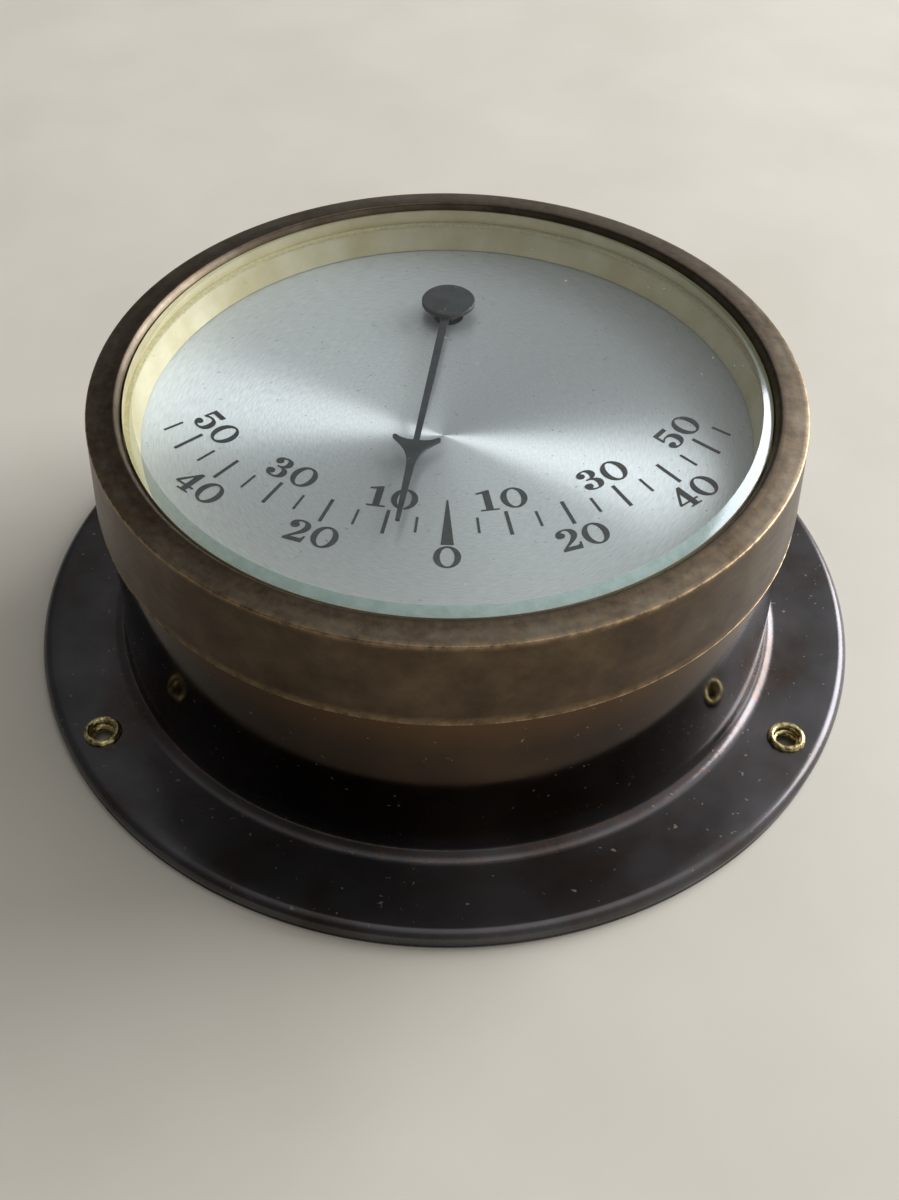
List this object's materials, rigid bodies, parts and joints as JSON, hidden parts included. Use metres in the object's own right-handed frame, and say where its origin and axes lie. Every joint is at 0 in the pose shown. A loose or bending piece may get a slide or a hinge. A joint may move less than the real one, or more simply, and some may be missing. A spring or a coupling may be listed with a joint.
{
  "type": "bulkhead inclinometer",
  "caption": "Round brass bulkhead inclinometer: flanged dark case, bezel with bevelled glass, silvered scale and a pendulum-driven pointer.",
  "frame": {"origin": "centre of the flange's back plane, which rests on the mounting surface", "axes": "+Z out through the dial, +Y towards the dial's twelve o'clock, +X to its three o'clock"},
  "size_m": [0.1396, 0.1396, 0.0502],
  "materials": {
    "oxidised_brass": "polished and chemically darkened, almost black brown",
    "bronzed_brass": "turned, brown antique patina worn bright at the edges",
    "eyelet_brass": "bright pale brass, rolled",
    "gilt_brass": "pale gold lacquer, satin",
    "movement_brass": "machined brass",
    "bush_bronze": "bronze bearing, turned",
    "silvered_dial": "silvered, brushed in circles",
    "dial_ink": "printed dark grey ink",
    "blackened_steel": "matt black lacquer",
    "steel": "turned steel",
    "rubber": "thin dark bedding ring",
    "glass": "thick clear glass, green at its ground bevel"
  },
  "bodies": {
    "case": {"case_shell": "oxidised_brass", "mounting_eyelets": "eyelet_brass", "bezel_ring": "bronzed_brass", "glass": "glass", "glass_gasket": "rubber", "reflector_ring": "gilt_brass", "dial_plate": "silvered_dial", "scale_ticks": "dial_ink", "zero_mark": "dial_ink", "scale_numerals": "dial_ink", "dial_feet": "movement_brass", "dial_foot_nuts": "movement_brass", "movement_plate": "movement_brass", "case_lugs": "movement_brass", "plate_screws": "steel", "front_bush": "bush_bronze", "rear_bush": "bush_bronze", "rear_bridge": "movement_brass", "bridge_pillars": "movement_brass", "pillar_screws": "steel", "bridge_screws": "steel", "stop_pins": "steel", "back_cover": "oxidised_brass"},
    "pendulum": {"arbor": "steel", "pointer_blade": "blackened_steel", "pointer_collet": "movement_brass", "pointer_hub": "blackened_steel", "pendulum_clamp": "movement_brass", "clamp_screw": "steel", "pendulum_rod": "steel", "pendulum_bob": "movement_brass", "bob_screw": "steel"}
  },
  "joints": [
    {"name": "pendulum_swing", "type": "hinge", "parent": "case", "child": "pendulum", "pos_m": [0, 0.028, 0.03], "axis": [0, 0, 1], "range_deg": [-52.3, 67.7]}
  ]
}
